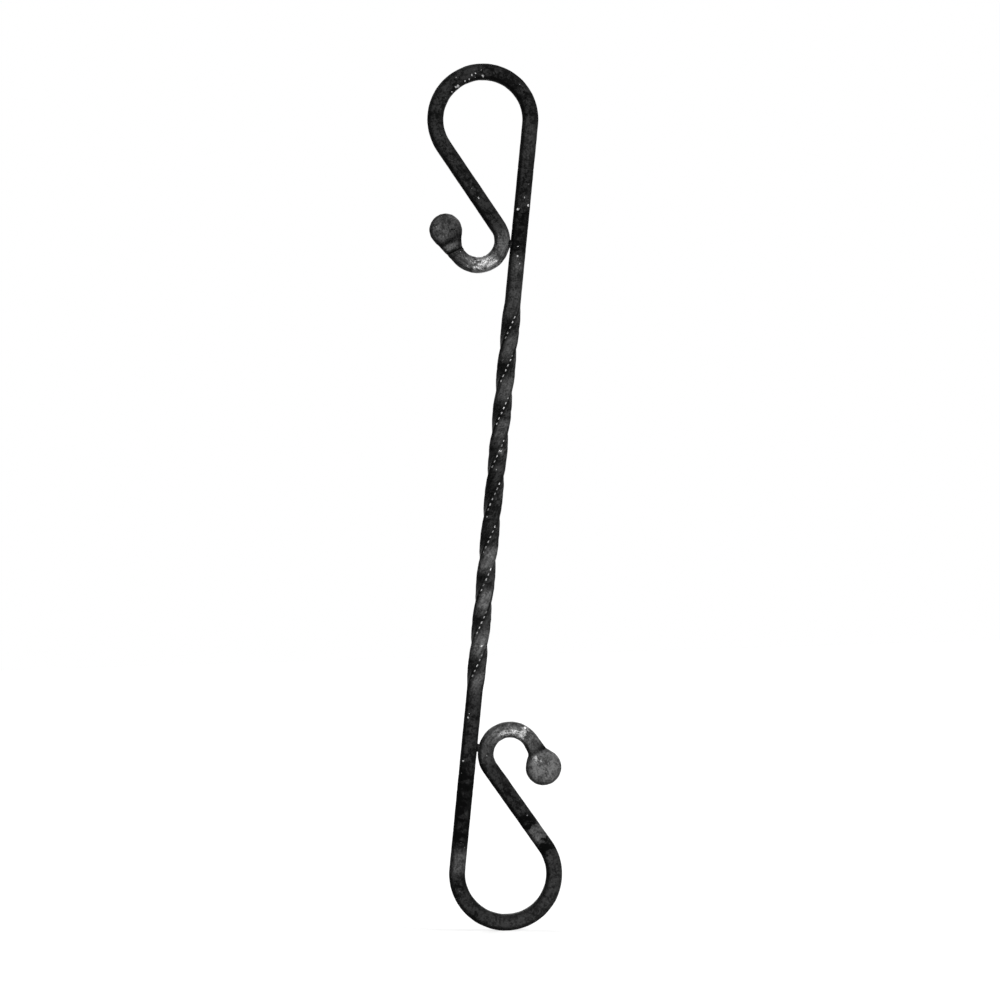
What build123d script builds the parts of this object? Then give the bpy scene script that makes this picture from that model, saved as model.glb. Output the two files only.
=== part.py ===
from build123d import *
from dataclasses import dataclass
from math import acos, asin, atan2, cos, degrees, hypot, radians, sin, tan
import os

# A wrought iron stair baluster, forged from one length of square bar.
# The middle of the bar is twisted. Each end is bent back in a big loop, runs
# down to a small hook that lies against the bar, and ends in a flat coin.
# The curls lie in the XZ plane and the front faces -Y. The origin is the lowest
# point of the lower loop, where it is welded to the bottom rail.

# Height over the two loops
HEIGHT = 870.0

# Square bar, across its flats, with its corners hammered off
BAR = 16.0
BAR_CHAMFER = 2.8

# Twisted stretch, in the middle of the straight bar
TWIST_LENGTH = 383.0
QUARTER_TURNS = 9

# Upper curl, on the bar's centreline
UPPER_LOOP_RADIUS = 47.7
UPPER_HOOK_RADIUS = 24.5
UPPER_HOOK_DROP = 121.7
UPPER_HOOK_GAP = 0.3
UPPER_HOOK_SWEEP = 188.3
UPPER_TACK_SHIFT = 0.0

# Lower curl, on the bar's centreline
LOWER_LOOP_RADIUS = 48.7
LOWER_HOOK_RADIUS = 24.5
LOWER_HOOK_DROP = 120.1
LOWER_HOOK_GAP = 1.0
LOWER_HOOK_SWEEP = 190.0
LOWER_TACK_SHIFT = 3.0

# Upper coin: both sides of its neck run almost straight into the rim
UPPER_NECK = 23.9
UPPER_INNER_SPREAD = 25.0
UPPER_OUTER_SPREAD = 17.5
UPPER_COIN_RADIUS = 16.4
UPPER_SHOULDER_AT = 3.0

# Lower coin: a rounder one, with a notch on each side of its neck
LOWER_NECK = 26.5
LOWER_INNER_SPREAD = 16.0
LOWER_OUTER_SPREAD = 12.0
LOWER_COIN_RADIUS = 18.0
LOWER_SHOULDER_AT = 7.0

# Both coins are hammered thinner than the bar, down a sloping shoulder
COIN_THICKNESS = 9.0
SHOULDER_RUN = 3.6

# Tack weld between a hook and the bar, set back from the bar's two faces
TACK_RADIUS = 4.0
TACK_SETBACK = 1.0


@dataclass(frozen=True)
class Curl:
    """One curled end, in a frame of its own.

    The bar comes up the Z axis and ends at the origin, where the loop starts.
    The loop lies on the -X side.
    """

    loop_radius: float
    hook_radius: float
    hook_drop: float
    hook_gap: float
    hook_sweep: float
    tack_shift: float
    neck: float
    inner_spread: float
    outer_spread: float
    coin_radius: float
    shoulder_at: float

    @property
    def loop_centre(self):
        """Centre of the loop, as X and Z."""
        return -self.loop_radius, 0.0

    @property
    def hook_centre(self):
        """Centre of the hook, which clears the bar by its gap."""
        return -(BAR + self.hook_gap + self.hook_radius), -self.hook_drop

    @property
    def loop_sweep(self):
        """Angle of the loop, up to where a straight run leaves for the hook."""
        across = self.hook_centre[0] - self.loop_centre[0]
        down = self.hook_centre[1] - self.loop_centre[1]
        reach = (self.loop_radius + self.hook_radius) / hypot(across, down)
        return 360.0 + degrees(atan2(down, across) - acos(reach))

    @property
    def hook_end(self):
        """Angle at which the hook's arc ends and the neck starts."""
        return self.loop_sweep - 180.0 - self.hook_sweep

    @property
    def hook_back(self):
        """Radius of the hook's outer side."""
        return self.hook_radius + BAR / 2

    @property
    def outer_start(self):
        """Where the neck's outer side leaves the hook's back, before the hook's end."""
        return -self.hook_back * sin(radians(self.outer_spread))

    @property
    def outer_end(self):
        """Where the neck's outer side passes nearest to the coin's centre."""
        slope = radians(self.outer_spread)
        return self.neck - self.outer_side(self.neck) * cos(slope) * sin(slope)

    def outer_side(self, along):
        """Distance from the neck's axis to its outer side, a tangent of the hook's back."""
        slope = radians(self.outer_spread)
        return self.hook_back / cos(slope) - self.hook_radius + along * tan(slope)

    def inner_side(self, along):
        """Distance from the neck's axis to its inner side, which spreads past the shoulder."""
        past_shoulder = max(along - self.shoulder_at, 0)
        return BAR / 2 + past_shoulder * tan(radians(self.inner_spread))


UPPER = Curl(
    loop_radius=UPPER_LOOP_RADIUS,
    hook_radius=UPPER_HOOK_RADIUS,
    hook_drop=UPPER_HOOK_DROP,
    hook_gap=UPPER_HOOK_GAP,
    hook_sweep=UPPER_HOOK_SWEEP,
    tack_shift=UPPER_TACK_SHIFT,
    neck=UPPER_NECK,
    inner_spread=UPPER_INNER_SPREAD,
    outer_spread=UPPER_OUTER_SPREAD,
    coin_radius=UPPER_COIN_RADIUS,
    shoulder_at=UPPER_SHOULDER_AT,
)
LOWER = Curl(
    loop_radius=LOWER_LOOP_RADIUS,
    hook_radius=LOWER_HOOK_RADIUS,
    hook_drop=LOWER_HOOK_DROP,
    hook_gap=LOWER_HOOK_GAP,
    hook_sweep=LOWER_HOOK_SWEEP,
    tack_shift=LOWER_TACK_SHIFT,
    neck=LOWER_NECK,
    inner_spread=LOWER_INNER_SPREAD,
    outer_spread=LOWER_OUTER_SPREAD,
    coin_radius=LOWER_COIN_RADIUS,
    shoulder_at=LOWER_SHOULDER_AT,
)


def on_circle(centre, radius, angle):
    """Point of a circle in the XZ plane, at an angle up from +X."""
    turn = radians(angle)
    return Vector(centre[0] + radius * cos(turn), 0, centre[1] + radius * sin(turn))


def hammered_section(plane, width, thickness):
    """Rectangle on a plane, with its corners hammered off."""
    return plane * chamfer(Rectangle(width, thickness).vertices(), BAR_CHAMFER)


def bar_section(point, direction):
    """The square bar's section at a point, facing along a direction."""
    plane = Plane(origin=point, x_dir=(0, 1, 0), z_dir=direction)
    return hammered_section(plane, BAR, BAR)


def bent_bar(centre, radius, start, sweep):
    """Bar bent round a centre in the XZ plane. A negative sweep bends clockwise."""
    turn = radians(start)
    forward = 1 if sweep > 0 else -1
    direction = (-sin(turn) * forward, 0, cos(turn) * forward)
    section = bar_section(on_circle(centre, radius, start), direction)
    # A turn about -Y is anticlockwise as the front shows it
    pivot = Axis((centre[0], 0, centre[1]), (0, -forward, 0))
    return revolve(section, axis=pivot, revolution_arc=abs(sweep))


def straight_bar(start, end):
    """Bar between two points."""
    run = end - start
    return extrude(bar_section(start, run), amount=run.length)


def coin_end(curl):
    """Forged neck and coin, with the neck along +X and the coin's faces up and down.

    The neck is as thick as the bar up to its shoulder. Its sides end inside the
    coin, where the outer one passes nearest to the coin's centre.
    """
    neck = loft(
        [
            neck_section(curl, curl.outer_start, BAR),
            neck_section(curl, curl.shoulder_at, BAR),
            neck_section(curl, curl.shoulder_at + SHOULDER_RUN, COIN_THICKNESS),
            neck_section(curl, curl.outer_end, COIN_THICKNESS),
        ],
        ruled=True,
    )
    disc = Pos(curl.neck, 0, 0) * Cylinder(curl.coin_radius, COIN_THICKNESS)
    rims = disc.edges().filter_by(GeomType.CIRCLE)
    return neck + chamfer(rims, BAR_CHAMFER)


def neck_section(curl, along, thickness):
    """Section of the neck at a distance along +X, with its outer side towards +Y."""
    outer, inner = curl.outer_side(along), curl.inner_side(along)
    middle = (along, (outer - inner) / 2, 0)
    plane = Plane(origin=middle, x_dir=(0, 1, 0), z_dir=(1, 0, 0))
    return hammered_section(plane, outer + inner, thickness)


def curl_end(curl):
    """Loop, run down to the hook, hook, coin and tack weld, as one solid."""
    loop_end = on_circle(curl.loop_centre, curl.loop_radius, curl.loop_sweep)
    hook_start = curl.loop_sweep - 180.0
    hook_top = on_circle(curl.hook_centre, curl.hook_radius, hook_start)
    loop = bent_bar(curl.loop_centre, curl.loop_radius, 0.0, curl.loop_sweep)
    run = straight_bar(loop_end, hook_top)
    hook = bent_bar(curl.hook_centre, curl.hook_radius, hook_start, -curl.hook_sweep)
    turn = radians(curl.hook_end)
    neck_plane = Plane(
        origin=on_circle(curl.hook_centre, curl.hook_radius, curl.hook_end),
        x_dir=(sin(turn), 0, -cos(turn)),
        z_dir=(0, -1, 0),
    )
    return loop + run + hook + neck_plane * coin_end(curl) + tack_weld(curl)


def tack_weld(curl):
    """Small weld that fills the groove between the hook and the bar."""
    across = -(BAR + curl.hook_gap) / 2
    along = -curl.hook_drop - curl.tack_shift
    lie_across = Pos(across, 0, along) * Rot(90, 0, 0)
    return lie_across * Cylinder(TACK_RADIUS, BAR - 2 * TACK_SETBACK)


def twisted_bar(start, end):
    """Straight bar between two heights on the Z axis, twisted in its middle."""
    twist_from = (start + end - TWIST_LENGTH) / 2
    twist_to = twist_from + TWIST_LENGTH
    twist = Solid.extrude_linear_with_rotation(
        bar_section((0, 0, twist_from), (0, 0, 1)).face(),
        center=(0, 0, twist_from),
        normal=(0, 0, TWIST_LENGTH),
        angle=90.0 * QUARTER_TURNS,
    )
    below = straight_bar(Vector(0, 0, start), Vector(0, 0, twist_from))
    above = straight_bar(Vector(0, 0, twist_to), Vector(0, 0, end))
    return below + twist + above


def baluster():
    """The whole baluster, stood up with one loop exactly above the other."""
    loops_apart = HEIGHT - BAR - UPPER_LOOP_RADIUS - LOWER_LOOP_RADIUS
    lean = asin((UPPER_LOOP_RADIUS + LOWER_LOOP_RADIUS) / loops_apart)
    length = loops_apart * cos(lean)
    upper = Pos(0, 0, length) * curl_end(UPPER)
    lower = Rot(0, 180, 0) * curl_end(LOWER)
    bar = twisted_bar(0, length) + upper + lower
    # Foot of the straight bar, seen from the centre of the lower loop
    foot_x = -LOWER_LOOP_RADIUS * cos(lean)
    foot_z = BAR / 2 + LOWER_LOOP_RADIUS * (1 + sin(lean))
    return Location((foot_x, 0, foot_z), (0, degrees(lean), 0)) * bar


os.makedirs("parts", exist_ok=True)
export_step(baluster(), "parts/baluster.step")
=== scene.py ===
"""Wrought iron stair baluster: the forged bar, its finish and the studio it stands in."""

import logging
from dataclasses import dataclass, field
from enum import Enum
from math import acos, asin, atan2, cos, pi, radians, sin, sqrt, tan

import bmesh
import bpy
from bmesh.types import BMesh, BMLayerItem
from bpy.types import Material, Node, NodeSocket, Object, World
from mathutils import Matrix, Vector, noise


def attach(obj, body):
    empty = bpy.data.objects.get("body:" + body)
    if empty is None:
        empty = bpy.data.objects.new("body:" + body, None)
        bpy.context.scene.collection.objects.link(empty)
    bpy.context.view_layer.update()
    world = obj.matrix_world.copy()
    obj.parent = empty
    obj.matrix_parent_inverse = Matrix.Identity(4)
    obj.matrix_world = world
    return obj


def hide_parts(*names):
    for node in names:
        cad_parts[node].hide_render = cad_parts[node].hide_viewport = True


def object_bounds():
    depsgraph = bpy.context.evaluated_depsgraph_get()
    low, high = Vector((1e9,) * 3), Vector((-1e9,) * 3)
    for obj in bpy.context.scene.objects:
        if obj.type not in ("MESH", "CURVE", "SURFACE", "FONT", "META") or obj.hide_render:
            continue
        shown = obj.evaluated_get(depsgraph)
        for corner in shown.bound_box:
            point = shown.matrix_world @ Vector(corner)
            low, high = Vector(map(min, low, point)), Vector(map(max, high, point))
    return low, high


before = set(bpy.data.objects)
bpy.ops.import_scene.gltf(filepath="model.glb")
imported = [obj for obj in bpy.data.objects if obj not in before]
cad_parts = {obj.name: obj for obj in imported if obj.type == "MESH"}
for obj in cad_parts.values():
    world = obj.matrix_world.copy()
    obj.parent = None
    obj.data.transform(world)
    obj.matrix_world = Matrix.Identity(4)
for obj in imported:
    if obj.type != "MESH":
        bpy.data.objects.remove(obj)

CAD_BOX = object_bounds()
LOG = logging.getLogger("baluster")
MM = 0.001

# Points nearer than this are one: where the drawn bar's tips close, and on the seam of a weld
TIP_GAP = 0.02 * MM
SEAM_GAP = 0.03 * MM

# Fractal noise: how much fainter and how much finer each layer is than the last, and how many
NOISE_FALLOFF = 1.0
NOISE_FINER = 2.0
NOISE_LAYERS = 2

# Two numbers, mostly a low and a high one
Span = tuple[float, float]

# What a node's inputs are fed: other nodes' outputs and plain values
Feed = NodeSocket | float | tuple[float, ...]
Feeds = dict[str | int, Feed]


def smooth(value: float, low: float, high: float) -> float:
    """Smooth step from 0 at low to 1 at high."""
    share = min(1.0, max(0.0, (value - low) / (high - low)))
    return share * share * (3.0 - 2.0 * share)


def blended_max(first: float, second: float, fillet: float) -> float:
    """Larger of two lengths, blended where they differ by less than the fillet."""
    nearness = max(fillet - abs(first - second), 0.0) / fillet
    return max(first, second) + nearness * nearness * fillet / 4.0


def share_of(place: Vector, size: float, seed: float) -> float:
    """Fractal noise from about 0 to 1, with blobs of a size. Each seed has its own pattern."""
    point = place / size + Vector((seed, -seed, 2.0 * seed))
    return 0.5 + 0.5 * noise.fractal(point, NOISE_FALLOFF, NOISE_FINER, NOISE_LAYERS)


def within(point: Vector, box: tuple[Vector, Vector]) -> Vector:
    """Nearest point of a box, which is given by its lowest and highest corners."""
    low, high = box
    return Vector(max(a, min(b, value)) for value, a, b in zip(point, low, high))


class End(Enum):
    """The bar's two ends, as the sign of a distance up from its middle."""

    UPPER = 1.0
    LOWER = -1.0


class Mark(Enum):
    """What the bar's points remember, for the finish to read."""

    PLACE = "place"
    # Corners, which the hammer dents and which carry painted shade
    CORNER = "corner"
    GLINT = "glint"
    BARE = "bare"
    # Soot, and painted shadow at the coins' shoulders
    SOOT_AND_SHADE = "soot_and_shade"
    # Paler places, and painted sheen on the twist's faces
    PALE = "pale"
    CREASE = "crease"
    CHIP = "chip"


@dataclass(frozen=True)
class Stretch:
    """A length of the centreline, straight or bent to one radius.

    A positive curvature bends anticlockwise, as the front shows it.
    """

    length: float
    curvature: float = 0.0

    def walk(self, point: Vector, heading: float, distance: float) -> tuple[Vector, float]:
        """Goes some way along the stretch.

        Args:
            point: Where the stretch starts, as X and Z.
            heading: The direction there, as an angle up from +X.
            distance: How far to go.

        Returns:
            The point reached and the heading there.
        """
        if not self.curvature:
            return point + distance * Vector((cos(heading), sin(heading))), heading
        turned = heading + self.curvature * distance
        across = Vector((sin(turned) - sin(heading), cos(heading) - cos(turned)))
        return point + across / self.curvature, turned


@dataclass(frozen=True)
class Curl:
    """One curled end of the bar, in a frame of its own.

    The bar comes up the Z axis and ends at the origin, where the loop starts.
    The loop lies on the -X side. Lengths are in metres and angles in degrees.
    """

    bar: float
    chamfer: float
    loop_radius: float
    hook_radius: float
    hook_drop: float
    hook_gap: float
    hook_sweep: float
    tack_shift: float
    neck: float
    inner_spread: float
    outer_spread: float
    coin_radius: float
    shoulder_at: float
    shoulder_run: float = 3.6 * MM
    shoulder_ease: float = 0.3
    coin_thickness: float = 9.0 * MM
    inner_fillet: float = 4.0 * MM
    outer_fillet: float = 2.0 * MM

    @property
    def centres(self) -> Vector:
        """Way from the loop's centre to the hook's, as X and Z."""
        across = self.loop_radius - self.bar - self.hook_gap - self.hook_radius
        return Vector((across, -self.hook_drop))

    @property
    def loop_sweep(self) -> float:
        """Angle of the loop in radians, up to where a straight run leaves for the hook."""
        reach = (self.loop_radius + self.hook_radius) / self.centres.length
        return 2.0 * pi + atan2(self.centres.y, self.centres.x) - acos(reach)

    def stretches(self) -> list[Stretch]:
        """Centreline from the loop's start to the tip of the coin.

        Returns:
            The loop, the run, the hook, and the neck with the coin.
        """
        radii = self.loop_radius + self.hook_radius
        run = sqrt(self.centres.length_squared - radii * radii)
        return [
            Stretch(self.loop_radius * self.loop_sweep, 1.0 / self.loop_radius),
            Stretch(run),
            Stretch(self.hook_radius * radians(self.hook_sweep), -1.0 / self.hook_radius),
            Stretch(self.neck + self.coin_radius),
        ]

    def half_thickness(self, along: float) -> float:
        """Half the thickness of the neck or the coin, to each side of the eased shoulder.

        Args:
            along: Distance from the neck's start.

        Returns:
            The distance from the middle of the iron to its front face.
        """
        ease = self.shoulder_ease * self.shoulder_run
        low = self.shoulder_at - ease
        thinned = smooth(along, low, self.shoulder_at + self.shoulder_run + ease)
        return 0.5 * (self.bar + (self.coin_thickness - self.bar) * thinned)

    @property
    def hook_back(self) -> float:
        """Radius of the hook's outer side."""
        return self.hook_radius + 0.5 * self.bar

    @property
    def outer_start(self) -> float:
        """Where the neck's outer side leaves the hook's back, before the neck's start."""
        return -self.hook_radius * radians(self.outer_spread)

    @property
    def outer_end(self) -> float:
        """Where the neck's outer side passes nearest to the coin's centre."""
        slope = radians(self.outer_spread)
        return self.neck - self.outer_side(self.neck) * cos(slope) * sin(slope)

    def outer_side(self, along: float) -> float:
        """Distance from the centreline to the outer side, a tangent of the hook's back.

        Args:
            along: Distance from the neck's start, below 0 on the hook's arc.

        Returns:
            Half the width on that side.
        """
        slope = radians(self.outer_spread)
        if along >= 0.0:
            return self.hook_back / cos(slope) - self.hook_radius + along * tan(slope)
        turned = min(-along / self.hook_radius, slope)
        return self.hook_back / cos(slope - turned) - self.hook_radius

    def inner_side(self, along: float) -> float:
        """Distance from the centreline to the inner side, which spreads past the shoulder."""
        past_shoulder = max(along - self.shoulder_at, 0.0)
        return 0.5 * self.bar + past_shoulder * tan(radians(self.inner_spread))

    def half_width(self, along: float, outer: bool, inset: float) -> float:
        """Half the width on one side of the neck or of the coin, whichever is wider.

        Args:
            along: Distance from the neck's start.
            outer: Whether it is the side away from the hook's centre.
            inset: How far the hammered corner stands in from the side there.

        Returns:
            The distance from the centreline, with a fillet where the neck meets the coin.
        """
        past_centre = along - self.neck
        chord = (self.coin_radius - inset) ** 2 - past_centre**2
        coin = sqrt(max(chord, 0.0))
        if past_centre >= 0.0:
            return coin
        inside = min(along, self.outer_end)
        side = (self.outer_side(inside) if outer else self.inner_side(inside)) - inset
        if chord <= 0.0:
            return side
        fillet = self.outer_fillet if outer else self.inner_fillet
        return blended_max(side, coin, fillet * min(1.0, -past_centre / self.coin_radius))


@dataclass(frozen=True)
class Patch:
    """Part of the bar with a look of its own, in millimetres.

    It runs from a start to an end, as distances up from the bar's middle. Its left and
    right are across the bar, for someone who walks up it in front. The more it keeps to
    the front, the more it spares the faces that look aside, as painted sheen on the
    twisted faces that look to the front or back.
    """

    start: float
    end: float
    strength: float
    fade: float = 5.0
    left: float = -25.0
    right: float = 25.0
    side_fade: float = 1.2
    facing_front: float = 0.0

    def at(self, distance: float, across: float, facing: float) -> float:
        """Strength of the patch at a place on the bar.

        Args:
            distance: Distance along the bar in metres, up from its middle.
            across: Distance to the right of the centreline in metres.
            facing: 1 on faces that look to the front or the back, 0 on those that look aside.

        Returns:
            A number from 0 to the patch's strength.
        """
        along, beside = distance / MM, across / MM
        if not self.start - self.fade < along < self.end + self.fade:
            return 0.0
        rise = smooth(along, self.start - self.fade, self.start + self.fade)
        fall = smooth(along, self.end - self.fade, self.end + self.fade)
        from_left = smooth(beside, self.left - self.side_fade, self.left + self.side_fade)
        from_right = smooth(beside, self.right - self.side_fade, self.right + self.side_fade)
        shape = rise * (1.0 - fall) * from_left * (1.0 - from_right)
        return self.strength * shape * (1.0 - self.facing_front * (1.0 - facing))


def chip(distance: float, across: float, size: float) -> Patch:
    """Small chip that shows bare iron.

    Args:
        distance: Distance along the bar, up from its middle, in millimetres.
        across: Distance to the right of the centreline.
        size: How wide it is.

    Returns:
        The chip as a patch.
    """
    fade = 0.6
    return Patch(
        start=distance - 0.5 * size,
        end=distance + 0.5 * size,
        strength=1.6,
        fade=fade,
        left=across - 0.5 * size,
        right=across + 0.5 * size,
        side_fade=fade,
    )


# Below, some pale patches are painted sheen on the twist, and the dark ones at the coins' shoulders
# painted shadow
# Where the iron is bare, pale, sooty, creased or chipped, placed to match the photo
PATCHES = {
    Mark.BARE: [
        Patch(680, 732, 0.40, 14),
        Patch(692, 714, 0.40, 8),
        Patch(-736, -690, 0.36, 12),
        Patch(-724, -700, 0.34, 8, right=1.5, side_fade=4),
        Patch(-731, -723, 0.36, 4),
        Patch(741, 745, 0.25, 2),
        Patch(-762, -752, 0.30, 4),
        Patch(-763, -752, 0.35, 3, left=-6, right=1, side_fade=2),
    ],
    Mark.PALE: [
        Patch(664, 732, 0.55, 12),
        Patch(740.5, 746, 0.68, 1.5, right=4, side_fade=3),
        Patch(753, 790, 0.21, 5),
        Patch(752, 790, 0.24, 5, right=0, side_fade=8),
        Patch(762, 775, 0.26, 3, left=8, side_fade=4),
        Patch(-743, -690, 0.66, 10),
        Patch(-722, -690, 0.30, 10, right=1, side_fade=4),
        Patch(-690, -666, 0.22, 8),
        Patch(-800, -751, 0.85, 4),
        Patch(-379, -357, 0.36, 6),
        Patch(-588, -570, 0.50, 6),
        Patch(-480, -440, 0.10, 20),
        Patch(-600, -480, 0.07, 30),
        Patch(195, 244, 0.17, 8),
        Patch(229, 236, 0.30, 2, left=-1, right=6),
        Patch(335, 375, 0.08, 8),
        # Painted sheen on the twisted faces that look to the front or back
        Patch(40, 190, 0.32, 20, facing_front=1),
        Patch(-191, -40, 0.62, 20, facing_front=0.95),
        Patch(43, 49, 0.55, 2, left=0.5, right=5.5),
        Patch(-71, -65, 0.45, 2, left=-3, right=2),
        Patch(-112, -106, 0.45, 2, left=-1.5, right=2.5),
        Patch(-153, -147, 0.45, 2, left=1, right=5),
    ],
    Mark.SOOT_AND_SHADE: [
        Patch(-350, -270, 0.66, 7),
        Patch(-290, -281, 0.40, 2.5),
        Patch(-314, -304, 0.32, 3),
        Patch(-349, -335, 0.40, 3),
        Patch(-604, -586, 0.95, 6),
        Patch(-572, -556, 0.95, 6),
        Patch(244, 290, 0.66, 9),
        Patch(380, 430, 0.42, 14),
        # Painted shadow below the upper coin's shoulder
        Patch(747.5, 751, 0.60, 1.5),
        Patch(753, 761, 0.36, 2.5, left=3, side_fade=3),
        # Painted shadow at the lower coin's shoulder
        Patch(-752, -744, 0.85, 2.5, left=3.5, side_fade=2),
    ],
    Mark.CREASE: [
        # Creases at the upper coin's shoulder, darkened as painted shadow lines
        Patch(737.0, 738.4, 1.0, 1.0),
        Patch(733.0, 734.0, 0.8, 1.2),
        Patch(330, 331, 0.8, 1.2),
        Patch(269, 270, 0.7, 1.5),
        Patch(250, 251, 0.7, 1.5),
        Patch(-281, -280, 0.7, 1.5),
        Patch(-297, -295, 0.6, 1.5),
        Patch(-312, -311, 0.6, 1.5),
        Patch(-338, -337, 0.8, 1.5),
        # Crease at the lower coin's shoulder, darkened as a painted shadow line
        Patch(-751, -750, 0.6, 1.2),
    ],
    Mark.CHIP: [
        chip(455, -5, 2.0),
        chip(463, -1.5, 1.5),
        chip(467, -2.5, 1.3),
        chip(464, -5.5, 1.4),
        chip(471, -6, 1.5),
        chip(476, -6, 1.5),
        chip(486, -6.5, 2.2),
        chip(489, -6.5, 1.9),
        chip(496, -6.5, 1.1),
        chip(622, 0, 2.0),
        chip(610, 0, 1.0),
        chip(667, 3, 1.5),
        chip(315, 4, 1.2),
        chip(301, 1.5, 1.7),
        chip(294, 6, 1.9),
        chip(289, -4, 1.9),
        chip(252, -0.5, 1.0),
        chip(242, 0, 1.7),
        chip(235, 3, 1.1),
        chip(233, -2.5, 1.2),
        chip(46, 2.5, 1.2),
        chip(-68, -0.5, 1.4),
        chip(-109, 0.5, 1.4),
        chip(-150, 3, 1.5),
        chip(-219, -3, 1.1),
        chip(-223, -4, 1.8),
        chip(-267, -5, 1.6),
        chip(-716, -2, 1.5),
        chip(-725, 6, 1.5),
        chip(-725, -3.5, 1.5),
        chip(-756, -4, 1.2),
        chip(-760, -2, 1.5),
    ],
}


@dataclass(frozen=True)
class Hammering:
    """Dents that the hammer and the fire leave."""

    facet: float = 10.0 * MM
    facet_depth: float = 0.16 * MM
    facet_radius: float = 0.75
    worked_facet: float = 6.5 * MM
    worked_depth: float = 0.32 * MM
    worked_fade: float = 20.0 * MM
    corner_wave: float = 11.0 * MM
    corner_depth: float = 0.45 * MM
    corner_knocks: Span = (0.35, 0.95)
    corner_seed: float = 3.1
    scale_size: float = 2.2 * MM
    scale_depth: float = 0.12 * MM
    scale_seed: float = 7.7
    crease_depth: float = 0.35 * MM
    mean_depth: float = 0.16 * MM

    def depth(self, place: Vector, corner: float, worked: float, crease: float) -> float:
        """How deep the surface is dented.

        Args:
            place: Where, on the straight bar before it was twisted and bent.
            corner: 1 on the bar's hammered corners, 0 on its faces.
            worked: 1 where the iron was hammered most, at the hooks and coins.
            crease: 1 in the middle of a crease across the bar.

        Returns:
            The depth in metres, below 0 where the surface stands proud of its mean.
        """
        broad = self.facet_depth * self.facets(place, self.facet)
        fine = worked * self.worked_depth * self.facets(place, self.worked_facet)
        knocks = share_of(place, self.corner_wave, self.corner_seed)
        corners = corner * self.corner_depth * smooth(knocks, *self.corner_knocks)
        pits = self.scale_depth * share_of(place, self.scale_size, self.scale_seed)
        return broad + fine + corners + pits + crease * self.crease_depth - self.mean_depth

    def facets(self, place: Vector, size: float) -> float:
        """Round hammer marks side by side, 1 in their middles and 0 on the ridges between them."""
        nearest = noise.voronoi(place / size)[0][0]
        return max(0.0, 1.0 - (nearest / self.facet_radius) ** 2)


@dataclass(frozen=True)
class Station:
    """Where one ring of the bar ends up: its place, its twist and its section."""

    drawn: float
    distance: float
    twist: float
    centre: Vector
    across: Vector
    curl: Curl
    along_neck: float

    def section(self, across: float, depth: float) -> tuple[float, float]:
        """Flattens a point of the bar's square section into the neck's or the coin's.

        Args:
            across: The point's place across the bar, in the plane of the curls.
            depth: Its place from front to back.

        Returns:
            The two in the flattened section.
        """
        if self.along_neck <= self.curl.outer_start:
            return across, depth
        half, chamfer = 0.5 * self.curl.bar, self.curl.chamfer
        inset = max(abs(depth) - (half - chamfer), 0.0)
        face = self.curl.half_thickness(self.along_neck)
        if inset > 0.0:
            lifted = face - chamfer + inset
        else:
            lifted = abs(depth) * (face - chamfer) / (half - chamfer)
        past_centre = self.along_neck - self.curl.neck
        if past_centre > 0.0:
            lifted = min(lifted, face - chamfer + self.curl.coin_radius - past_centre)
        wide = self.curl.half_width(self.along_neck, across * self.drawn < 0.0, inset)
        return across * wide / (half - inset), lifted if depth > 0.0 else -lifted


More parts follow.
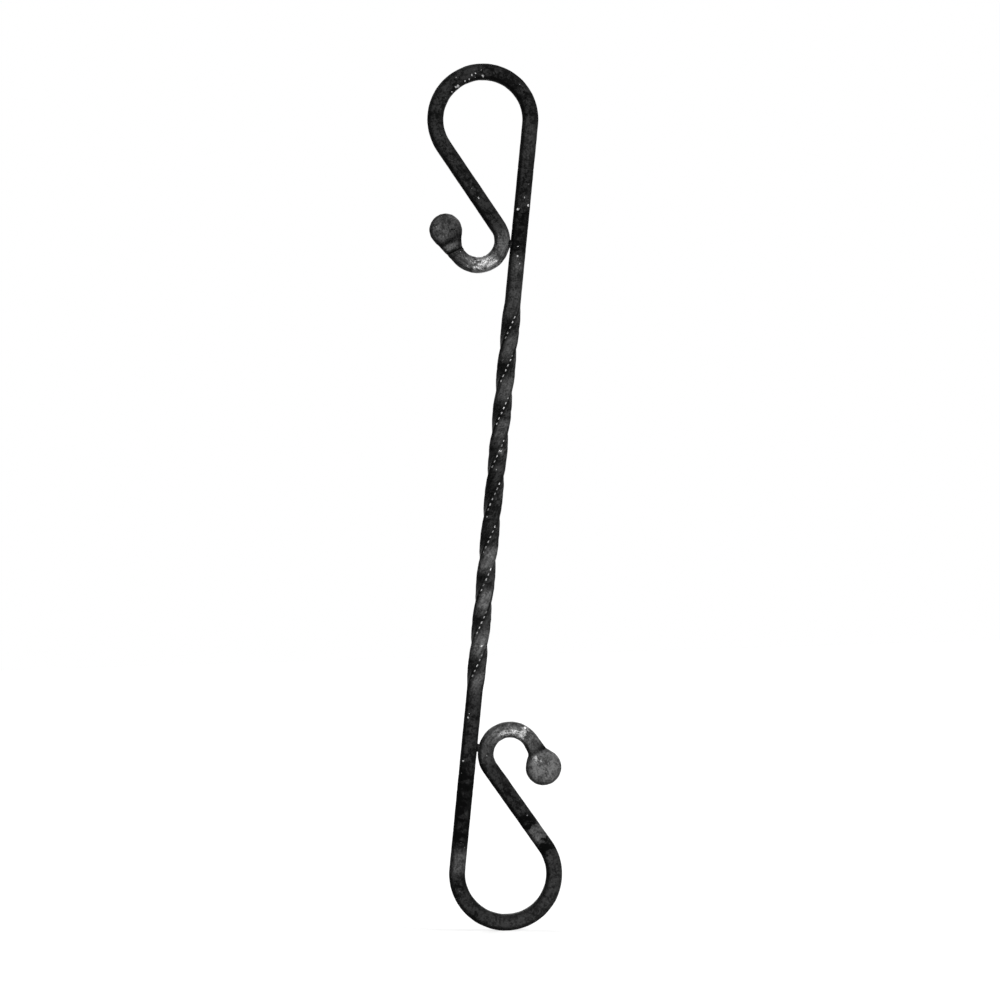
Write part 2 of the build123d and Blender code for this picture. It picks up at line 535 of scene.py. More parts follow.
@dataclass
class ForgedBar:
    """The whole baluster: one square bar, drawn out straight, twisted, flattened and curled."""

    height: float = 870.0 * MM
    width: float = 16.0 * MM
    chamfer: float = 2.8 * MM
    edge_softness: float = 0.55 * MM
    twist_length: float = 383.0 * MM
    quarter_turns: int = 9
    twist_ease: float = 14.0 * MM
    # How finely the bar is drawn, and how far round a coin its tip reaches, in degrees
    heats: int = 48
    step: float = 0.8 * MM
    ring_spacing: float = 1.45 * MM
    tip_angle: float = 86.0
    # Where the marks fade in: of corners, which are dented and carry painted shade, of faces to the
    # front, which carry painted sheen, and of the twist's ridges, which carry painted glints
    corner_edges: Span = (-1.0 * MM, -0.2 * MM)
    facing_edges: Span = (0.80, 1.0)
    glint_facing: Span = (0.80, 0.88)
    glint_ends: Span = (-12.0 * MM, 6.0 * MM)
    glint_width: float = 2.6 * MM
    hammering: Hammering = field(default_factory=Hammering)
    upper: Curl = field(init=False)
    lower: Curl = field(init=False)

    def __post_init__(self) -> None:
        """Lays out the two curls, in the bar's own width."""
        self.upper = Curl(
            bar=self.width,
            chamfer=self.chamfer,
            loop_radius=47.7 * MM,
            hook_radius=24.5 * MM,
            hook_drop=121.7 * MM,
            hook_gap=0.3 * MM,
            hook_sweep=188.3,
            tack_shift=0.0,
            neck=23.9 * MM,
            inner_spread=25.0,
            outer_spread=17.5,
            coin_radius=16.4 * MM,
            shoulder_at=3.0 * MM,
        )
        self.lower = Curl(
            bar=self.width,
            chamfer=self.chamfer,
            loop_radius=48.7 * MM,
            hook_radius=24.5 * MM,
            hook_drop=120.1 * MM,
            hook_gap=1.0 * MM,
            hook_sweep=190.0,
            tack_shift=3.0 * MM,
            neck=26.5 * MM,
            inner_spread=16.0,
            outer_spread=12.0,
            coin_radius=18.0 * MM,
            shoulder_at=7.0 * MM,
            outer_fillet=6.0 * MM,
            inner_fillet=6.0 * MM,
        )

    @property
    def loops_apart(self) -> float:
        """Height from the centre of the lower loop to the centre of the upper one."""
        return self.height - self.width - self.upper.loop_radius - self.lower.loop_radius

    @property
    def lean(self) -> float:
        """Angle of the straight bar off the line through the two loops, in radians."""
        return asin((self.upper.loop_radius + self.lower.loop_radius) / self.loops_apart)

    @property
    def half_length(self) -> float:
        """Half the length of the bar between its two loops."""
        return 0.5 * self.loops_apart * cos(self.lean)

    def stand(self, across: float, up: float) -> tuple[float, float]:
        """Turns a place by the straight bar into one in the object's frame.

        Args:
            across: Distance to the right of the bar's middle, square to the bar.
            up: Distance up the bar from its middle.

        Returns:
            The place as X and Z.
        """
        centre = 0.5 * self.width + self.lower.loop_radius
        foot_x = -self.lower.loop_radius * cos(self.lean)
        foot_z = centre + self.lower.loop_radius * sin(self.lean)
        up += self.half_length
        return (
            foot_x + across * cos(self.lean) + up * sin(self.lean),
            foot_z - across * sin(self.lean) + up * cos(self.lean),
        )

    def end_at(self, distance: float) -> End:
        """The end on the same side of the bar's middle as a distance."""
        return End.UPPER if distance >= 0.0 else End.LOWER

    def curl_at(self, end: End) -> Curl:
        """The curl at one end."""
        return self.upper if end == End.UPPER else self.lower

    def tip_centre(self, curl: Curl) -> float:
        """Distance along the bar from its middle to the centre of a coin."""
        length = self.half_length + sum(part.length for part in curl.stretches())
        return length - curl.coin_radius

    def drawn_length(self, curl: Curl) -> float:
        """Length of bar drawn out for one end, where the tip follows the coin's round rim."""
        return self.tip_centre(curl) + curl.coin_radius * radians(self.tip_angle)

    def forged_distance(self, drawn: float) -> float:
        """Distance along the centreline of a station that was drawn evenly.

        Args:
            drawn: Distance up from the middle of the drawn bar.

        Returns:
            The same distance, or a shorter one where the coin's rim rounds the tip.
        """
        end = self.end_at(drawn)
        curl = self.curl_at(end)
        beyond = abs(drawn) - self.tip_centre(curl)
        if beyond <= 0.0:
            return drawn
        return end.value * (abs(drawn) - beyond + curl.coin_radius * sin(beyond / curl.coin_radius))

    def twist_at(self, distance: float) -> float:
        """Angle that the bar has been twisted by, in radians, with an eased start and end.

        Args:
            distance: Distance along the bar, up from its middle.

        Returns:
            The angle, anticlockwise as seen from above.
        """
        half = 0.5 * self.twist_length
        run = self.eased(distance + half) - self.eased(distance - half)
        return radians(90.0 * self.quarter_turns) * run / self.twist_length

    def eased(self, run: float) -> float:
        """A run's length past its start, or 0 before it, with an eased corner at the start."""
        reach = min(max(run + 0.5 * self.twist_ease, 0.0), self.twist_ease)
        return max(run - 0.5 * self.twist_ease, 0.0) + reach * reach / (2.0 * self.twist_ease)

    def centreline(self, distance: float) -> tuple[Vector, float]:
        """Point and heading of the centreline, in the frame of the curl on that side.

        Args:
            distance: Distance along the bar, up from its middle.

        Returns:
            The point as X and Z from the bar's middle, and the heading in radians.
        """
        point, heading = Vector((0.0, 0.0)), 0.5 * pi
        left = abs(distance)
        curl = self.curl_at(self.end_at(distance))
        for part in [Stretch(self.half_length), *curl.stretches()]:
            if left <= part.length:
                break
            point, heading = part.walk(point, heading, part.length)
            left -= part.length
        return part.walk(point, heading, left)

    def draw_out(self) -> BMesh:
        """Draws out the straight square bar, with a ring of points at every step.

        Returns:
            The open bar, upright, with its middle at the origin.
        """
        mesh = bmesh.new()
        bmesh.ops.create_grid(mesh, x_segments=1, y_segments=1, size=0.5 * self.width)
        for offset in (self.chamfer, self.edge_softness):
            bmesh.ops.bevel(
                mesh,
                geom=mesh.verts[:],
                offset=offset,
                segments=1,
                profile=0.5,
                affect="VERTICES",
                material=-1,
            )
        for edge in mesh.edges[:]:
            cuts = round(edge.calc_length() / self.ring_spacing) - 1
            if cuts > 0:
                bmesh.ops.subdivide_edges(mesh, edges=[edge], cuts=cuts)
        bmesh.ops.delete(mesh, geom=mesh.faces[:], context="FACES_ONLY")
        low, high = -self.drawn_length(self.lower), self.drawn_length(self.upper)
        bmesh.ops.translate(mesh, verts=mesh.verts[:], vec=(0.0, 0.0, low))
        bmesh.ops.spin(
            mesh,
            geom=mesh.verts[:] + mesh.edges[:],
            axis=(0.0, 0.0, 1.0),
            dvec=(0.0, 0.0, (high - low) / self.heats),
            angle=0.0,
            steps=self.heats,
        )
        lengthwise = [edge for edge in mesh.edges if edge.calc_length() > self.width]
        cuts = round((high - low) / self.heats / self.step) - 1
        bmesh.ops.subdivide_edges(mesh, edges=lengthwise, cuts=cuts, use_grid_fill=True)
        return mesh

    def station(self, drawn: float) -> Station:
        """Works out where a ring of the drawn bar ends up.

        Args:
            drawn: Its distance up from the middle of the drawn bar.

        Returns:
            The ring's station in the object's frame.
        """
        distance = self.forged_distance(drawn)
        end = self.end_at(drawn)
        side, curl = end.value, self.curl_at(end)
        point, heading = self.centreline(distance)
        centre = Vector(self.stand(side * point.x, side * point.y))
        beside = Vector(self.stand(side * point.x + sin(heading), side * point.y - cos(heading)))
        return Station(
            drawn=drawn,
            distance=distance,
            twist=self.twist_at(distance),
            centre=centre,
            across=beside - centre,
            curl=curl,
            along_neck=abs(distance) - (self.tip_centre(curl) - curl.neck),
        )

    def forge(self, mesh: BMesh) -> None:
        """Twists, flattens and curls the drawn bar, and notes each point's marks.

        Args:
            mesh: The drawn bar, which is changed.
        """
        layers = mark_layers(mesh)
        place = layers.pop(Mark.PLACE)
        stations: dict[int, Station] = {}
        for vert in mesh.verts:
            ring = round(vert.co.z / (0.5 * self.step))
            if ring not in stations:
                stations[ring] = self.station(vert.co.z)
            station = stations[ring]
            drawn = Vector(vert.co)
            turn = Matrix.Rotation(station.twist, 2)
            turned = turn @ drawn.xy
            flat = Vector(station.section(turned.x, turned.y))
            spot = station.centre + flat.x * station.across
            vert.co = (spot.x, flat.y, spot.y)
            untwisted = turn.inverted() @ flat
            vert[place] = (untwisted.x, untwisted.y, drawn.z)
            for mark, layer in layers.items():
                vert[layer] = self.mark(mark, drawn, flat, station)

    def mark(self, mark: Mark, drawn: Vector, flat: Vector, station: Station) -> float:
        """Strength of one of the marks at a point.

        Args:
            mark: Which mark.
            drawn: The point on the drawn bar.
            flat: Where it lies across and behind the centreline, once twisted and flattened.
            station: The ring that it belongs to.

        Returns:
            A number from 0 to 1.
        """
        if mark == Mark.CORNER:
            from_corner = abs(drawn.x) + abs(drawn.y) - (self.width - self.chamfer)
            return smooth(from_corner, *self.corner_edges)
        # Painted glint: a line along each twisted ridge, where the ridge faces the front or the back
        if mark == Mark.GLINT:
            twisted = smooth(0.5 * self.twist_length - abs(station.distance), *self.glint_ends)
            off_corner = abs(abs(drawn.x) - abs(drawn.y))
            facing_front = smooth(abs(flat.y) / flat.length, *self.glint_facing)
            return twisted * facing_front * (1.0 - smooth(off_corner, 0.0, self.glint_width))
        if mark == Mark.CHIP and flat.y > 0.0:
            return 0.0
        # How much a face looks to the front or back, which sets where the painted sheen shows
        face = 0.5 * pi * round(atan2(drawn.y, drawn.x) / (0.5 * pi))
        facing = smooth(abs(sin(face + station.twist)), *self.facing_edges)
        return min(1.0, sum(patch.at(station.distance, flat.x, facing) for patch in PATCHES[mark]))

    def hammer(self, mesh: BMesh) -> None:
        """Dents the forged bar along its own normals, within the box that it has to fit.

        Args:
            mesh: The forged bar, which is changed.
        """
        place = mesh.verts.layers.float_vector[Mark.PLACE.value]
        corner = mesh.verts.layers.float[Mark.CORNER.value]
        crease = mesh.verts.layers.float[Mark.CREASE.value]
        fade = self.hammering.worked_fade
        mesh.normal_update()
        moves = []
        for vert in mesh.verts:
            spot = vert[place]
            curl = self.curl_at(self.end_at(spot.z))
            hook_start = self.tip_centre(curl) - curl.neck - curl.hook_radius * pi
            worked = smooth(abs(spot.z), hook_start - fade, hook_start + fade)
            depth = self.hammering.depth(spot, vert[corner], worked, vert[crease])
            moves.append(-depth * vert.normal)
        for vert, move in zip(mesh.verts, moves):
            vert.co = within(vert.co + move, CAD_BOX)

    def build(self) -> Object:
        """Forges the bar and closes its two tips.

        Returns:
            The baluster, with its marks and no finish yet.
        """
        mesh = self.draw_out()
        self.forge(mesh)
        bmesh.ops.remove_doubles(mesh, verts=mesh.verts[:], dist=TIP_GAP)
        open_edges = [edge for edge in mesh.edges if edge.is_boundary]
        bmesh.ops.holes_fill(mesh, edges=open_edges, sides=0)
        bmesh.ops.recalc_face_normals(mesh, faces=mesh.faces[:])
        self.hammer(mesh)
        return finished_object("forged_baluster", mesh)


@dataclass(frozen=True)
class TackWeld:
    """Small bead that fills the groove between a hook and the straight bar, front and back."""

    half_across: float = 3.3 * MM
    half_depth: float = 7.3 * MM
    half_along: float = 3.8 * MM
    fullness: float = 0.55
    flatness: float = 0.35
    ripple: float = 1.9 * MM
    ripple_depth: float = 0.10
    lumps: float = 3.0 * MM
    lump_depth: float = 0.35 * MM
    lump_seed: float = 1.7
    smallest: float = 1e-6
    sides: int = 48
    rings: int = 32

    def build(self, bar: ForgedBar, end: End) -> Object:
        """Lays the bead at one end of the bar.

        Args:
            bar: The bar whose hook it holds.
            end: Which of the bar's ends it is at.

        Returns:
            The bead, closed, with the bar's marks.
        """
        side, curl = end.value, bar.curl_at(end)
        across = -0.5 * (curl.bar + curl.hook_gap)
        along = bar.half_length - curl.hook_drop - curl.tack_shift
        mesh = bmesh.new()
        bmesh.ops.create_uvsphere(mesh, u_segments=self.sides, v_segments=self.rings, radius=1.0)
        place = mark_layers(mesh)[Mark.PLACE]
        for vert in mesh.verts:
            spot = self.bead(vert.co)
            vert[place] = Vector((spot.x + across, spot.y, spot.z + side * along))
            x, z = bar.stand(side * (across + spot.x), side * (along + spot.z))
            vert.co = (x, spot.y, z)
        return finished_object("tack_weld", mesh)

    def bead(self, direction: Vector) -> Vector:
        """Point of the bead's rippled surface.

        Args:
            direction: Its direction from the bead's middle: across, to the back, and along.

        Returns:
            The point, from the bead's middle.
        """
        round_way = max(direction.xy.length, self.smallest)
        girth = (max(1.0 - direction.z**2, 0.0)) ** (0.5 * self.fullness)
        along = self.half_along * direction.z
        girth *= 1.0 + self.ripple_depth * sin(2.0 * pi * along / self.ripple)
        spot = Vector((
            self.half_across * girth * direction.x / round_way,
            self.half_depth * girth**self.flatness * direction.y / round_way,
            along,
        ))
        lump = self.lump_depth * (share_of(spot, self.lumps, self.lump_seed) - 0.5)
        return spot * (1.0 + lump / max(spot.length, self.lumps))


def mark_layers(mesh: BMesh) -> dict[Mark, BMLayerItem]:
    """Gives the points of a mesh a layer for each mark, and returns the layers."""
    places, numbers = mesh.verts.layers.float_vector, mesh.verts.layers.float
    return {mark: (places if mark == Mark.PLACE else numbers).new(mark.value) for mark in Mark}


def finished_object(name: str, mesh: BMesh) -> Object:
    """Makes a smoothly shaded object at the origin from a bmesh.

    Args:
        name: Name of the piece.
        mesh: Its shape, which is freed.

    Returns:
        The object, in the scene.
    """
    for polygon in mesh.faces:
        polygon.smooth = True
    data = bpy.data.meshes.new(name)
    mesh.to_mesh(data)
    mesh.free()
    piece = bpy.data.objects.new(name, data)
    bpy.context.scene.collection.objects.link(piece)
    return piece


def joined(piece: Object, beads: list[Object]) -> Object:
    """Joins beads to a piece, so that they are one closed skin with a clean seam.

    Args:
        piece: The piece that is kept.
        beads: What is joined to it, and then taken away.

    Returns:
        The piece.
    """
    for bead in beads:
        union = piece.modifiers.new(bead.name, "BOOLEAN")
        union.operation = "UNION"
        union.solver = "MANIFOLD"
        union.object = bead
    shape = piece.evaluated_get(bpy.context.evaluated_depsgraph_get())
    piece.data = bpy.data.meshes.new_from_object(shape)
    piece.modifiers.clear()
    piece.data.materials.clear()
    mesh = bmesh.new()
    mesh.from_mesh(piece.data)
    bmesh.ops.remove_doubles(mesh, verts=mesh.verts[:], dist=SEAM_GAP)
    # The union leaves faces with more than four sides along the seam
    many_sided = [face for face in mesh.faces if len(face.verts) > 4]
    bmesh.ops.triangulate(mesh, faces=many_sided)
    mesh.to_mesh(piece.data)
    mesh.free()
    for bead in beads:
        bpy.data.objects.remove(bead)
    return piece


@dataclass(frozen=True)
class Grain:
    """Fractal noise of a finish, whose largest blobs have a size in metres.

    A stretch below 1 along an axis makes its blobs longer that way. Its depth in metres
    is that of its relief.
    """

    size: float
    detail: float
    roughness: float = 0.6
    depth: float = 0.0
    stretch: tuple[float, float, float] = (1.0, 1.0, 1.0)


class Wiring:
    """Short ways to add and join the nodes of a material or of a surround."""

    # Angle that a wave texture turns by over one unit, and how fine its bending noise is
    wave_radians = 20.0
    wander_detail = 2.0

    def __init__(self, owner: Material | World) -> None:
        """Starts without any node.

        Args:
            owner: The material or surround that the nodes are for.
        """
        owner.use_nodes = True
        self.tree = owner.node_tree
        self.tree.nodes.clear()
        self.grains: dict[Grain, NodeSocket] = {}

    def node(self, kind: str, feeds: Feeds, **settings: object) -> Node:
        """Adds a node.

        Args:
            kind: Its type, after the words that every shader node's type starts with.
            feeds: For each input, another node's output or a plain value.
            settings: Its own settings, by name.

        Returns:
            The node.
        """
        node = self.tree.nodes.new("ShaderNode" + kind)
        for name, value in settings.items():
            setattr(node, name, value)
        for slot, feed in feeds.items():
            if isinstance(feed, NodeSocket):
                self.tree.links.new(feed, node.inputs[slot])
            else:
                node.inputs[slot].default_value = feed
        return node

    def surface(self, feeds: Feeds) -> None:
        """Gives a material its shader."""
        shader = self.node("BsdfPrincipled", feeds)
        self.node("OutputMaterial", {"Surface": shader.outputs["BSDF"]})

    def seen(self) -> NodeSocket:
        """Light path switch: 1 for what the lens sees itself, in gloss or through glass.

        Returns:
            The switch's output.
        """
        rays = self.node("LightPath", {}).outputs
        switch = self.larger(rays["Is Camera Ray"], rays["Is Glossy Ray"])
        return self.larger(switch, rays["Is Transmission Ray"])

    def attribute(self, mark: Mark) -> NodeSocket:
        """One of the piece's marks."""
        node = self.node("Attribute", {}, attribute_name=mark.value)
        return node.outputs["Vector" if mark == Mark.PLACE else "Fac"]

    def math(self, operation: str, first: Feed, second: Feed, clamp: bool = True) -> NodeSocket:
        """Result of two numbers, kept from 0 to 1 unless clamp is False."""
        feeds = {0: first, 1: second}
        return self.node("Math", feeds, operation=operation, use_clamp=clamp).outputs[0]

    def add(self, first: Feed, second: Feed) -> NodeSocket:
        """Sum of two numbers, which may go below 0 or past 1."""
        return self.math("ADD", first, second, clamp=False)

    def times(self, first: Feed, second: Feed) -> NodeSocket:
        """Product of two numbers, kept from 0 to 1."""
        return self.math("MULTIPLY", first, second)

    def larger(self, first: Feed, second: Feed) -> NodeSocket:
        """The larger of two numbers, kept from 0 to 1."""
        return self.math("MAXIMUM", first, second)

    def bands(self, spacing: float, wander: float) -> NodeSocket:
        """Bands across the bar, bent a little by noise.

        Args:
            spacing: Distance from one band to the next, in metres.
            wander: How much noise bends them.

        Returns:
            A number from 0 to 1.
        """
        feeds = {
            "Vector": self.attribute(Mark.PLACE),
            "Scale": 2.0 * pi / (self.wave_radians * spacing),
            "Distortion": wander,
            "Detail Scale": self.wander_detail,
        }
        return self.node("TexWave", feeds, bands_direction="Z").outputs["Fac"]

    def grain(self, grain: Grain) -> NodeSocket:
        """Fractal noise along the bar, from 0 to 1, made once and then shared.

        Args:
            grain: Which noise.

        Returns:
            Its output.
        """
        if grain not in self.grains:
            place = self.node("Mapping", {"Vector": self.attribute(Mark.PLACE), "Scale": grain.stretch})
            feeds = {"Vector": place.outputs[0], "Scale": 1.0 / grain.size, "Detail": grain.detail}
            made = self.node("TexNoise", feeds | {"Roughness": grain.roughness})
            self.grains[grain] = made.outputs["Fac"]
        return self.grains[grain]

    def step(self, value: Feed, edges: Span) -> NodeSocket:
        """Smooth step from 0 at the low edge to 1 at the high one."""
        feeds = {"Value": value, "From Min": edges[0], "From Max": edges[1]}
        return self.node("MapRange", feeds, interpolation_type="SMOOTHSTEP").outputs["Result"]

    def between(self, share: Feed, levels: Span) -> NodeSocket:
        """Number between two levels, by a share from 0 to 1."""
        feeds = {"Value": share, "To Min": levels[0], "To Max": levels[1]}
        return self.node("MapRange", feeds).outputs["Result"]

    def graded(self, value: Feed, edges: Span, levels: Span) -> NodeSocket:
        """Number that steps smoothly from the first level to the second between two edges."""
        return self.between(self.step(value, edges), levels)

    def mix(self, share: Feed, first: Feed, second: Feed) -> NodeSocket:
        """Colour between two others."""
        feeds = {"Factor": share, 6: first, 7: second}
        return self.node("Mix", feeds, data_type="RGBA").outputs[2]

    def relief(self, *grains: Grain) -> NodeSocket:
        """Relief of noises, each over the one before.

        Args:
            grains: The noises, with their depths.

        Returns:
            The normal of the top one.
        """
        below: Feeds = {}
        for grain in grains:
            feeds = {"Height": self.grain(grain), "Distance": grain.depth}
            below["Normal"] = self.node("Bump", feeds | below).outputs["Normal"]
        return below["Normal"]


def grey(level: float) -> tuple[float, float, float, float]:
    """Neutral colour of one linear level."""
    return level, level, level, 1.0


@dataclass(frozen=True)
class BlackIron:
    """Finish of the forged bar: black scale, soot, darkened creases and bare iron, with painted shade
    on the corners, painted shadow at the coins' shoulders, painted sheen on the twist's faces and
    painted glints on its ridges.

    Edges are the two values of a pattern between which it turns from 0 to 1. Any other
    pair goes from what a pattern's 0 stands for to what its 1 stands for.
    """

    # Linear greys and gloss
    scale_dark: float = 0.003
    scale_light: float = 0.031
    # Near-black grey of the painted shade on the corners
    corner_shade_level: float = 0.003
    soot_and_shade_level: float = 0.001
    pale_level: float = 0.17
    bare_dark: float = 0.12
    bare_light: float = 0.80
    specular: float = 0.03
    roughness: Span = (0.45, 0.9)
    bare_smoothness: float = 0.4

    # Noise
    blotches: Grain = Grain(13.0 * MM, 3.0)
    pale_clouds: Grain = Grain(8.0 * MM, 4.0)
    soot_and_shade_clouds: Grain = Grain(8.0 * MM, 3.0)
    wrinkles: Grain = Grain(6.0 * MM, 3.0, stretch=(0.6, 0.6, 1.2))
    patches: Grain = Grain(4.5 * MM, 4.0, 0.65, depth=0.35 * MM)
    specks: Grain = Grain(2.0 * MM, 3.0, 0.65, depth=0.25 * MM)
    streaks: Grain = Grain(1.9 * MM, 3.0, stretch=(1.0, 1.0, 0.3))
    dust: Grain = Grain(0.55 * MM, 2.0, depth=0.08 * MM)
    flecks: Grain = Grain(3.2 * MM, 4.0, 0.7)
    glint_gap_noise: Grain = Grain(7.0 * MM, 1.0, 0.5)
    sparks: Grain = Grain(3.0 * MM, 1.0, 0.4)

    # Mottled scale, with painted shade darkening the corners
    blotch_share: float = 0.30
    patch_share: float = 0.40
    speck_share: float = 0.30
    blotch_edges: Span = (0.36, 0.64)
    speck_edges: Span = (0.38, 0.62)
    scale_edges: Span = (0.18, 0.82)
    scale_contrast: float = 1.3
    corner_edges: Span = (0.4, 0.6)
    corner_shade: Span = (0.85, 0.5)

    # Paler places, and painted sheen on the twisted faces that look to the front or back
    streak_share: float = 0.5
    pale_texture_edges: Span = (0.38, 0.62)
    pale_texture: Span = (0.45, 1.35)
    cloud_edges: Span = (0.36, 0.62)
    cloudiness: Span = (0.52, 1.22)
    corner_shade_on_pale: Span = (1.0, 0.55)

    # Soot, darkened creases, and painted shadow at the coins' shoulders
    soot_and_shade_tears: Span = (-1.0, 1.0)
    soot_and_shade_drift: Span = (-1.1, 1.1)
    soot_and_shade_edges: Span = (0.45, 0.70)
    wrinkle_edges: Span = (0.50, 0.62)
    wrinkle_soot_and_shade: Span = (1.0, 0.3)
    crease_tears: Span = (-0.6, 0.6)
    crease_edges: Span = (0.3, 0.6)

    # Bare iron, and painted glints dotted along the twist's ridges
    dust_edges: Span = (0.35, 0.65)
    fleck_share: float = 0.6
    bare_tears: Span = (-1.5, 1.0)
    bare_edges: Span = (0.25, 0.7)
    corner_shade_on_bare: Span = (1.0, 0.35)
    glint_dot_spacing: float = 5.4 * MM
    glint_dot_wander: float = 1.4
    glint_dot_edges: Span = (0.45, 0.85)
    ridge_glint_edges: Span = (0.45, 0.9)
    glint_gap_edges: Span = (0.4, 0.6)
    glint_dot_strength: Span = (0.35, 1.0)
    chip_lift: Span = (0.0, 0.5)
    spark_edges: Span = (0.76, 0.88)
    spark_strength: float = 0.8

    def dress(self, piece: Object) -> None:
        """Gives the finish to a piece that has the bar's marks.

        Args:
            piece: The forged bar.
        """
        material = bpy.data.materials.new("black_iron")
        wiring = Wiring(material)
        colour = self.scale(wiring)
        colour = self.pale_and_sheen(wiring, colour)
        colour = self.sooty_and_shaded(wiring, colour)
        # Bare iron with the painted glints, which show as bright metal
        metal = self.bare_iron_and_glints(wiring)
        shine = wiring.step(wiring.grain(self.dust), self.dust_edges)
        shine = wiring.mix(shine, grey(self.bare_dark), grey(self.bare_light))
        polish = wiring.times(metal, self.bare_smoothness)
        rough = wiring.math("SUBTRACT", wiring.grain(self.streaks), polish)
        wiring.surface({
            "Base Color": wiring.mix(metal, colour, shine),
            "Metallic": metal,
            "Roughness": wiring.between(rough, self.roughness),
            "Specular IOR Level": self.specular,
            "Normal": wiring.relief(self.patches, self.specks, self.dust),
        })
        piece.data.materials.append(material)

    def scale(self, wiring: Wiring) -> NodeSocket:
        """Mottled black scale, with painted shade that darkens the hammered corners.

        Args:
            wiring: The material that it is added to.

        Returns:
            The scale's colour.
        """
        blotches = wiring.grain(self.blotches)
        patches = wiring.step(wiring.grain(self.patches), self.blotch_edges)
        specks = wiring.step(wiring.grain(self.specks), self.speck_edges)
        broad = wiring.times(wiring.step(blotches, self.blotch_edges), self.blotch_share)
        level = wiring.math("ADD", broad, wiring.times(patches, self.patch_share))
        level = wiring.math("ADD", level, wiring.times(specks, self.speck_share))
        level = wiring.math("POWER", wiring.step(level, self.scale_edges), self.scale_contrast)
        colour = wiring.mix(level, grey(self.scale_dark), grey(self.scale_light))
        # Painted shade: the hammered corners are mixed towards a near-black grey
        corner = wiring.graded(blotches, self.corner_edges, self.corner_shade)
        corner = wiring.times(wiring.attribute(Mark.CORNER), corner)
        return wiring.mix(corner, colour, grey(self.corner_shade_level))

    def pale_and_sheen(self, wiring: Wiring, colour: NodeSocket) -> NodeSocket:
        """Scale made paler at the hooks, the coins and wherever else the bar is marked pale, and
        painted sheen on the twisted faces that look to the front or back.

        Args:
            wiring: The material that it is added to.
            colour: The colour below.

        Returns:
            The colour with the rubbed places on it.
        """
        streaks = wiring.times(wiring.grain(self.streaks), self.streak_share)
        specks = wiring.times(wiring.grain(self.specks), 1.0 - self.streak_share)
        pale_texture = wiring.math("ADD", streaks, specks)
        pale_texture = wiring.graded(pale_texture, self.pale_texture_edges, self.pale_texture)
        clouds = wiring.graded(wiring.grain(self.pale_clouds), self.cloud_edges, self.cloudiness)
        # Painted shade: the corners take less of the paleness
        corner = wiring.between(wiring.attribute(Mark.CORNER), self.corner_shade_on_pale)
        pale = wiring.attribute(Mark.PALE)
        for factor in (pale_texture, clouds, corner):
            pale = wiring.times(pale, factor)
        return wiring.mix(pale, colour, grey(self.pale_level))

    def sooty_and_shaded(self, wiring: Wiring, colour: NodeSocket) -> NodeSocket:
        """Soot in ragged patches with paler wrinkles, darkening in the creases, and painted shadow at
        the coins' shoulders.

        Args:
            wiring: The material that it is added to.
            colour: The colour below.

        Returns:
            The colour with the soot on it.
        """
        tears = wiring.between(wiring.grain(self.patches), self.soot_and_shade_tears)
        drift = wiring.between(wiring.grain(self.soot_and_shade_clouds), self.soot_and_shade_drift)
        soot_and_shade = wiring.add(wiring.attribute(Mark.SOOT_AND_SHADE), wiring.add(tears, drift))
        wrinkles = wiring.graded(wiring.grain(self.wrinkles), self.wrinkle_edges, self.wrinkle_soot_and_shade)
        soot_and_shade = wiring.times(wiring.step(soot_and_shade, self.soot_and_shade_edges), wrinkles)
        tears = wiring.between(wiring.grain(self.specks), self.crease_tears)
        crease = wiring.step(wiring.add(wiring.attribute(Mark.CREASE), tears), self.crease_edges)
        # Soot, darkened creases and painted shadow all go towards a near-black grey
        return wiring.mix(wiring.larger(soot_and_shade, crease), colour, grey(self.soot_and_shade_level))

    def bare_iron_and_glints(self, wiring: Wiring) -> NodeSocket:
        """Bare iron at the hooks, wherever else marked bare and in chips, and painted glints dotted
        along the twist's ridges.

        Args:
            wiring: The material that it is added to.

        Returns:
            The share of bare iron and painted glint, from 0 to 1.
        """
        flecks = wiring.times(wiring.grain(self.flecks), self.fleck_share)
        streaks = wiring.times(wiring.grain(self.streaks), 1.0 - self.fleck_share)
        tears = wiring.between(wiring.math("ADD", flecks, streaks), self.bare_tears)
        worn = wiring.step(wiring.add(wiring.attribute(Mark.BARE), tears), self.bare_edges)
        # Painted shade: the corners take less of the bare iron
        corner = wiring.between(wiring.attribute(Mark.CORNER), self.corner_shade_on_bare)
        # Painted glints: bright metal dots along the twist's ridges
        ridge_glints = wiring.step(wiring.attribute(Mark.GLINT), self.ridge_glint_edges)
        glint_dots = wiring.step(wiring.bands(self.glint_dot_spacing, self.glint_dot_wander), self.glint_dot_edges)
        glint_gaps = wiring.graded(wiring.grain(self.glint_gap_noise), self.glint_gap_edges, self.glint_dot_strength)
        lift = wiring.between(wiring.attribute(Mark.CHIP), self.chip_lift)
        sparks = wiring.step(wiring.add(wiring.grain(self.sparks), lift), self.spark_edges)
        bare = wiring.times(worn, corner)
        bare = wiring.larger(bare, wiring.times(wiring.times(ridge_glints, glint_dots), glint_gaps))
        return wiring.larger(bare, wiring.times(sparks, self.spark_strength))


@dataclass(frozen=True)
class Lamp:
    """Soft lamp far away, at angles in degrees.

    Its azimuth is to the right of the front, its elevation is above the floor, and its
    size is how wide it looks from the object.
    """

    name: str
    strength: float
    azimuth: float
    elevation: float
    size: float

    def hang(self) -> None:
        """Adds the lamp to the scene."""
        data = bpy.data.lights.new(self.name, "SUN")
        data.energy = self.strength
        data.angle = radians(self.size)
        lamp = bpy.data.objects.new(self.name, data)
        side, rise = radians(self.azimuth), radians(self.elevation)
        towards = Vector((sin(side) * cos(rise), -cos(side) * cos(rise), sin(rise)))
        lamp.rotation_mode = "QUATERNION"
        lamp.rotation_quaternion = towards.to_track_quat("Z", "Y")
        bpy.context.scene.collection.objects.link(lamp)


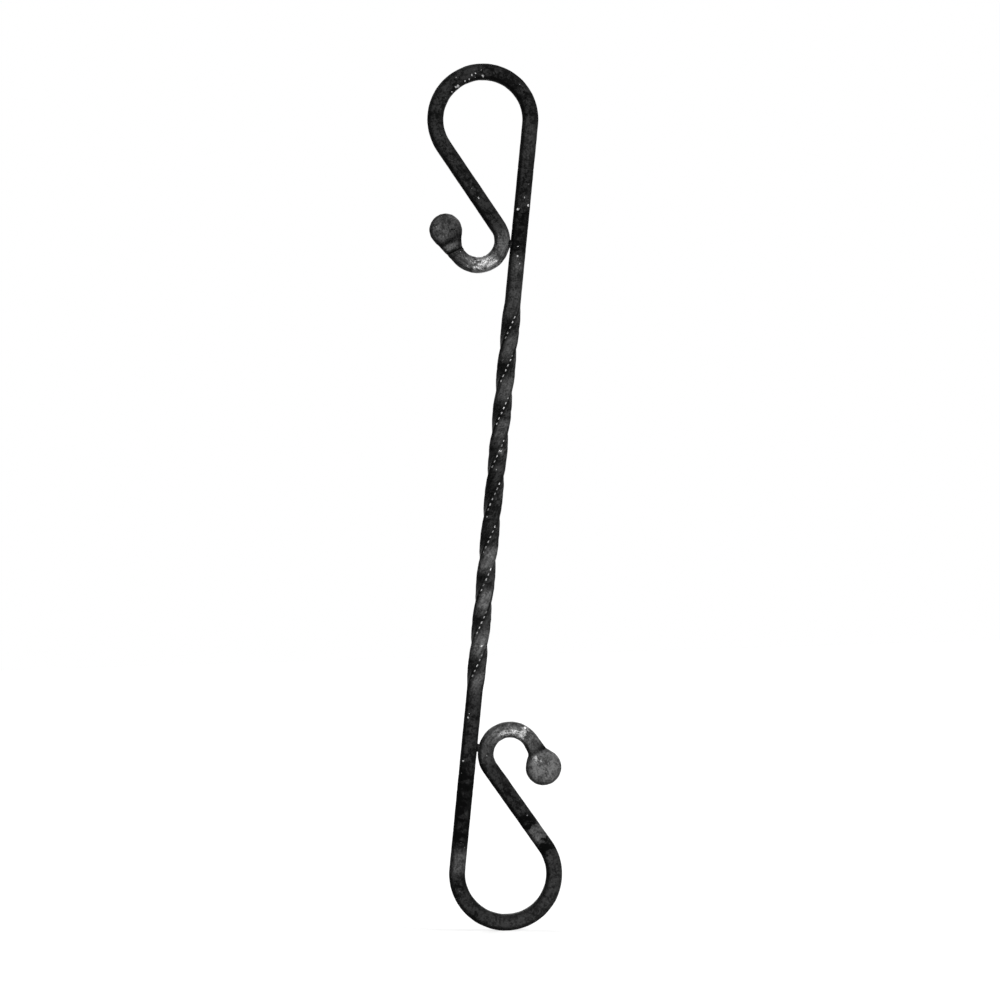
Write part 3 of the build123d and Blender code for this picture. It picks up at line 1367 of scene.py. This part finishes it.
@dataclass(frozen=True)
class Studio:
    """Long lens square on to the front, soft light, a pale floor and a white surround.

    The loop centres' pixels in the photo's frame set the lens's scale and its roll.
    """

    bar: ForgedBar
    frame_size: float = 1000.0
    upper_loop_pixel: tuple[float, float] = (482.85, 119.43)
    lower_loop_pixel: tuple[float, float] = (505.59, 873.69)
    camera_distance: float = 4.0
    sensor_width: float = 36.0
    surround_light: float = 0.10
    surround_shown: float = 1.0
    floor_level: float = 0.25
    floor_glow: float = 0.72
    floor_size: float = 14.0
    lamps: tuple[Lamp, ...] = (
        Lamp("key_light", strength=4.6, azimuth=52.0, elevation=34.0, size=30.0),
        Lamp("fill_light", strength=0.2, azimuth=-20.0, elevation=15.0, size=60.0),
        Lamp("back_light", strength=3.6, azimuth=208.0, elevation=36.0, size=40.0),
    )

    def camera(self) -> None:
        """Sets the camera up at the photo's viewing angle."""
        upper, lower = Vector(self.upper_loop_pixel), Vector(self.lower_loop_pixel)
        way = lower - upper
        per_pixel = self.bar.loops_apart / way.length
        roll = atan2(way.x, way.y)
        right = Vector((cos(roll), 0.0, -sin(roll)))
        up = Vector((sin(roll), 0.0, cos(roll)))
        lower_loop = Vector((0.0, 0.0, 0.5 * self.bar.width + self.bar.lower.loop_radius))
        middle = 0.5 * self.frame_size
        target = lower_loop + per_pixel * ((middle - lower.x) * right + (lower.y - middle) * up)
        data = bpy.data.cameras.new("front_lens")
        data.sensor_width = self.sensor_width
        data.lens = self.sensor_width * self.camera_distance / (per_pixel * self.frame_size)
        camera = bpy.data.objects.new("front_camera", data)
        back = Vector((0.0, -1.0, 0.0))
        turn = Matrix((right, up, back)).transposed().to_4x4()
        camera.matrix_world = Matrix.Translation(target + self.camera_distance * back) @ turn
        bpy.context.scene.collection.objects.link(camera)
        bpy.context.scene.camera = camera

    def world(self) -> None:
        """Makes the surround: white to look at, with a plain low light of its own."""
        world = bpy.data.worlds.new("white_surround")
        wiring = Wiring(world)
        feeds: Feeds = {0: wiring.seen()}
        for slot, strength in ((1, self.surround_light), (2, self.surround_shown)):
            white = wiring.node("Background", {"Color": grey(1.0), "Strength": strength})
            feeds[slot] = white.outputs[0]
        mix = wiring.node("MixShader", feeds)
        wiring.node("OutputWorld", {"Surface": mix.outputs[0]})
        bpy.context.scene.world = world

    def floor(self) -> None:
        """Lays the pale floor, which shows as white and keeps the baluster's shadow."""
        mesh = bmesh.new()
        bmesh.ops.create_grid(mesh, x_segments=1, y_segments=1, size=0.5 * self.floor_size)
        floor = finished_object("floor", mesh)
        material = bpy.data.materials.new("pale_floor")
        wiring = Wiring(material)
        wiring.surface({
            "Base Color": grey(self.floor_level),
            "Roughness": 1.0,
            "Specular IOR Level": 0.0,
            "Emission Color": grey(1.0),
            "Emission Strength": wiring.times(wiring.seen(), self.floor_glow),
        })
        floor.data.materials.append(material)

    def set_up(self) -> None:
        """Sets up the camera, the surround, the lamps and the floor."""
        self.camera()
        self.world()
        for lamp in self.lamps:
            lamp.hang()
        self.floor()


def report(piece: Object) -> None:
    """Logs a piece's name and its numbers of points and faces."""
    mesh = piece.data
    LOG.info("%s: %d points, %d faces", piece.name, len(mesh.vertices), len(mesh.polygons))


def main() -> None:
    """Builds the baluster and the studio."""
    logging.basicConfig(level=logging.INFO, format="%(message)s")
    bpy.context.scene.view_settings.view_transform = "Standard"
    bar = ForgedBar()
    beads = [TackWeld().build(bar, end) for end in End]
    forged = bar.build()
    for part in (*beads, forged):
        report(part)
    piece = joined(forged, beads)
    report(piece)
    BlackIron().dress(piece)
    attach(piece, "root")
    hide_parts("baluster")
    Studio(bar).set_up()


if __name__ == "__main__":
    main()
